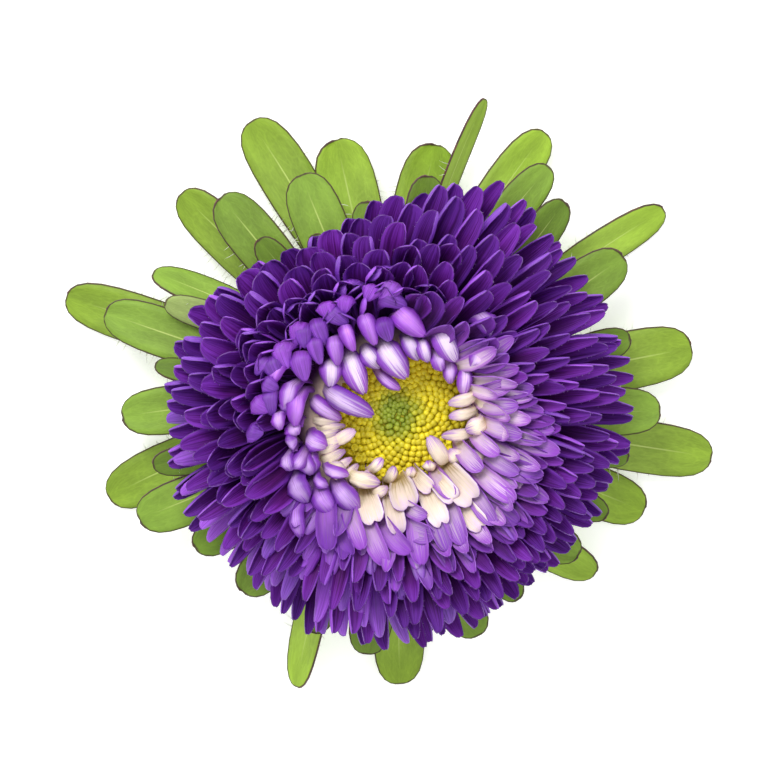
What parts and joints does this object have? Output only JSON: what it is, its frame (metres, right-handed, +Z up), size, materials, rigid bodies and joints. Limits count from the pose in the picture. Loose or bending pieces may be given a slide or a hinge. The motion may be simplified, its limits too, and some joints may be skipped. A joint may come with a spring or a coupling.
{
  "type": "china aster flower head",
  "caption": "Picked China aster head lying face up: a dense dome of violet ray florets, lilac and cream towards a yellow disc, over a ruff of spoon-shaped green bracts",
  "frame": {"origin": "on the head's own axis, on the surface that the head lies on", "axes": "+Z up along the axis of the head, through the middle of the disc; +X along the widest spread of the bracts, which is the picture's right; +Y towards the picture's top"},
  "size_m": [0.1058, 0.0981, 0.0347],
  "materials": {
    "stem": "matt green, softly ribbed",
    "bract_light": "soft satin leaf",
    "bract_mid": "soft satin leaf",
    "bract_dark": "soft satin leaf",
    "petal_violet": "velvety satin petal",
    "petal_lilac": "satin petal",
    "petal_cream": "satin petal",
    "disc_yellow": "waxy",
    "disc_green": "waxy"
  },
  "bodies": {
    "root": {"stem_and_receptacle": "stem", "bracts_lower": "bract_light", "bracts_middle": "bract_mid", "bracts_upper": "bract_dark", "violet_ray_florets_lower": "petal_violet", "violet_ray_florets_middle": "petal_violet", "violet_ray_florets_crest": "petal_violet", "lilac_ray_florets": "petal_lilac", "cream_ray_florets": "petal_cream", "disc_florets": "disc_yellow", "disc_buds": "disc_green"}
  },
  "joints": []
}
